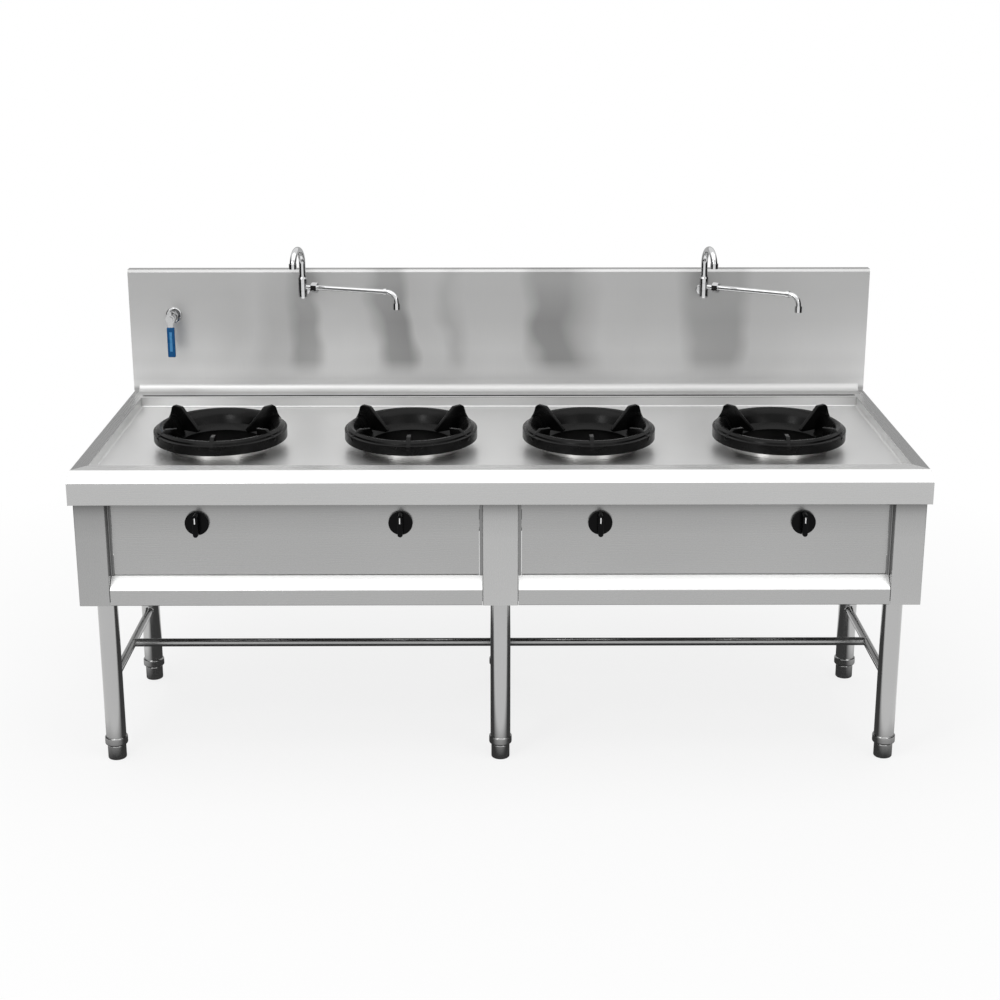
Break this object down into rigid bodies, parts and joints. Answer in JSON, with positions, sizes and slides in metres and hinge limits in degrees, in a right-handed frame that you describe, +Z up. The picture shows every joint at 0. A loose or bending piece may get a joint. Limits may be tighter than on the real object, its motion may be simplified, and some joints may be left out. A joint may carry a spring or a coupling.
{
  "type": "wok range",
  "caption": "Free-standing gas wok range in folded stainless sheet with sunk deck, cast wok rings, splashback, swivel faucets, quarter-turn knobs and levelling feet",
  "frame": {"origin": "on the floor under the middle of the outline", "axes": "+X along the range to the cook's right, +Y from the cook to the wall, +Z up"},
  "size_m": [2.1, 0.92, 1.212],
  "materials": {
    "worktop_steel": "brushed stainless sheet",
    "splash_steel": "brushed stainless sheet",
    "body_steel": "brushed stainless sheet",
    "tube_steel": "satin stainless tube",
    "foot_metal": "turned steel",
    "chamber_steel": "stainless sheet darkened by heat",
    "cast_iron": "black rough casting",
    "pipe_steel": "plain steel pipe",
    "brass": "turned brass",
    "knob_black": "glossy black moulding",
    "chrome": "polished chrome plate",
    "grip_blue": "soft blue vinyl"
  },
  "bodies": {
    "frame": {"deck_tray": "worktop_steel", "rim_front": "worktop_steel", "rim_left": "worktop_steel", "rim_right": "worktop_steel", "rear_trough": "worktop_steel", "backsplash": "splash_steel", "backsplash_cover": "splash_steel", "post_left": "body_steel", "post_centre": "body_steel", "post_right": "body_steel", "front_panel_left": "body_steel", "front_panel_right": "body_steel", "ledge_left": "body_steel", "ledge_right": "body_steel", "side_panel_left": "body_steel", "side_panel_right": "body_steel", "rear_panel": "body_steel", "rear_brackets": "body_steel", "leg_beams": "body_steel", "leg_rails": "tube_steel", "leg_front_left": "tube_steel", "leg_front_centre": "tube_steel", "leg_front_right": "tube_steel", "leg_rear_left": "tube_steel", "leg_rear_centre": "tube_steel", "leg_rear_right": "tube_steel", "leg_sockets": "foot_metal", "fire_chamber_1": "chamber_steel", "fire_chamber_2": "chamber_steel", "fire_chamber_3": "chamber_steel", "fire_chamber_4": "chamber_steel", "burner_heads": "cast_iron", "mixing_tubes": "cast_iron", "gas_manifold": "pipe_steel", "water_inlet_pipe": "pipe_steel", "water_supply_pipe": "pipe_steel", "gas_valves": "brass", "water_valve": "chrome", "faucet_body_left": "chrome", "faucet_body_right": "chrome"},
    "wok_ring_1": {"wok_ring_1": "cast_iron"},
    "knob_1": {"knob_1": "knob_black"},
    "wok_ring_2": {"wok_ring_2": "cast_iron"},
    "knob_2": {"knob_2": "knob_black"},
    "wok_ring_3": {"wok_ring_3": "cast_iron"},
    "knob_3": {"knob_3": "knob_black"},
    "wok_ring_4": {"wok_ring_4": "cast_iron"},
    "knob_4": {"knob_4": "knob_black"},
    "foot_front_left": {"foot_front_left": "foot_metal"},
    "foot_front_centre": {"foot_front_centre": "foot_metal"},
    "foot_front_right": {"foot_front_right": "foot_metal"},
    "foot_rear_left": {"foot_rear_left": "foot_metal"},
    "foot_rear_centre": {"foot_rear_centre": "foot_metal"},
    "foot_rear_right": {"foot_rear_right": "foot_metal"},
    "spout_left": {"spout_left": "chrome"},
    "swing_arm_left": {"swing_arm_left": "chrome"},
    "spout_right": {"spout_right": "chrome"},
    "swing_arm_right": {"swing_arm_right": "chrome"},
    "valve_lever": {"valve_lever": "chrome", "valve_grip": "grip_blue"}
  },
  "joints": [
    {"name": "knob_1_turn", "type": "hinge", "parent": "frame", "child": "knob_1", "pos_m": [-0.75, -0.386, 0.636], "axis": [0, -1, 0], "range_deg": [0, 90]},
    {"name": "wok_ring_1_lift", "type": "slide", "parent": "frame", "child": "wok_ring_1", "axis": [0, 0, 1], "range_m": [0, 0.1]},
    {"name": "knob_2_turn", "type": "hinge", "parent": "frame", "child": "knob_2", "pos_m": [-0.247, -0.386, 0.636], "axis": [0, -1, 0], "range_deg": [0, 90]},
    {"name": "wok_ring_2_lift", "type": "slide", "parent": "frame", "child": "wok_ring_2", "axis": [0, 0, 1], "range_m": [0, 0.1]},
    {"name": "knob_3_turn", "type": "hinge", "parent": "frame", "child": "knob_3", "pos_m": [0.247, -0.386, 0.636], "axis": [0, -1, 0], "range_deg": [0, 90]},
    {"name": "wok_ring_3_lift", "type": "slide", "parent": "frame", "child": "wok_ring_3", "axis": [0, 0, 1], "range_m": [0, 0.1]},
    {"name": "knob_4_turn", "type": "hinge", "parent": "frame", "child": "knob_4", "pos_m": [0.75, -0.386, 0.636], "axis": [0, -1, 0], "range_deg": [0, 90]},
    {"name": "wok_ring_4_lift", "type": "slide", "parent": "frame", "child": "wok_ring_4", "axis": [0, 0, 1], "range_m": [0, 0.1]},
    {"name": "foot_front_left_screw", "type": "slide", "parent": "frame", "child": "foot_front_left", "axis": [0, 0, -1], "range_m": [0, 0.03]},
    {"name": "foot_front_centre_screw", "type": "slide", "parent": "frame", "child": "foot_front_centre", "axis": [0, 0, -1], "range_m": [0, 0.03]},
    {"name": "foot_front_right_screw", "type": "slide", "parent": "frame", "child": "foot_front_right", "axis": [0, 0, -1], "range_m": [0, 0.03]},
    {"name": "foot_rear_left_screw", "type": "slide", "parent": "frame", "child": "foot_rear_left", "axis": [0, 0, -1], "range_m": [0, 0.03]},
    {"name": "foot_rear_centre_screw", "type": "slide", "parent": "frame", "child": "foot_rear_centre", "axis": [0, 0, -1], "range_m": [0, 0.03]},
    {"name": "foot_rear_right_screw", "type": "slide", "parent": "frame", "child": "foot_rear_right", "axis": [0, 0, -1], "range_m": [0, 0.03]},
    {"name": "spout_left_swivel", "type": "hinge", "parent": "frame", "child": "spout_left", "pos_m": [-0.548, 0.352, 1.122], "axis": [0, 0, 1], "range_deg": [-79, 101]},
    {"name": "swing_arm_left_swivel", "type": "hinge", "parent": "frame", "child": "swing_arm_left", "pos_m": [-0.548, 0.352, 1.094], "axis": [0, 0, 1], "range_deg": [-161, 19]},
    {"name": "spout_right_swivel", "type": "hinge", "parent": "frame", "child": "spout_right", "pos_m": [0.572, 0.352, 1.122], "axis": [0, 0, 1], "range_deg": [-101, 79]},
    {"name": "swing_arm_right_swivel", "type": "hinge", "parent": "frame", "child": "swing_arm_right", "pos_m": [0.572, 0.352, 1.094], "axis": [0, 0, 1], "range_deg": [-150, 30]},
    {"name": "valve_lever_turn", "type": "hinge", "parent": "frame", "child": "valve_lever", "pos_m": [-0.924, 0.369, 1], "axis": [0, 1, 0], "range_deg": [0, 90]}
  ]
}
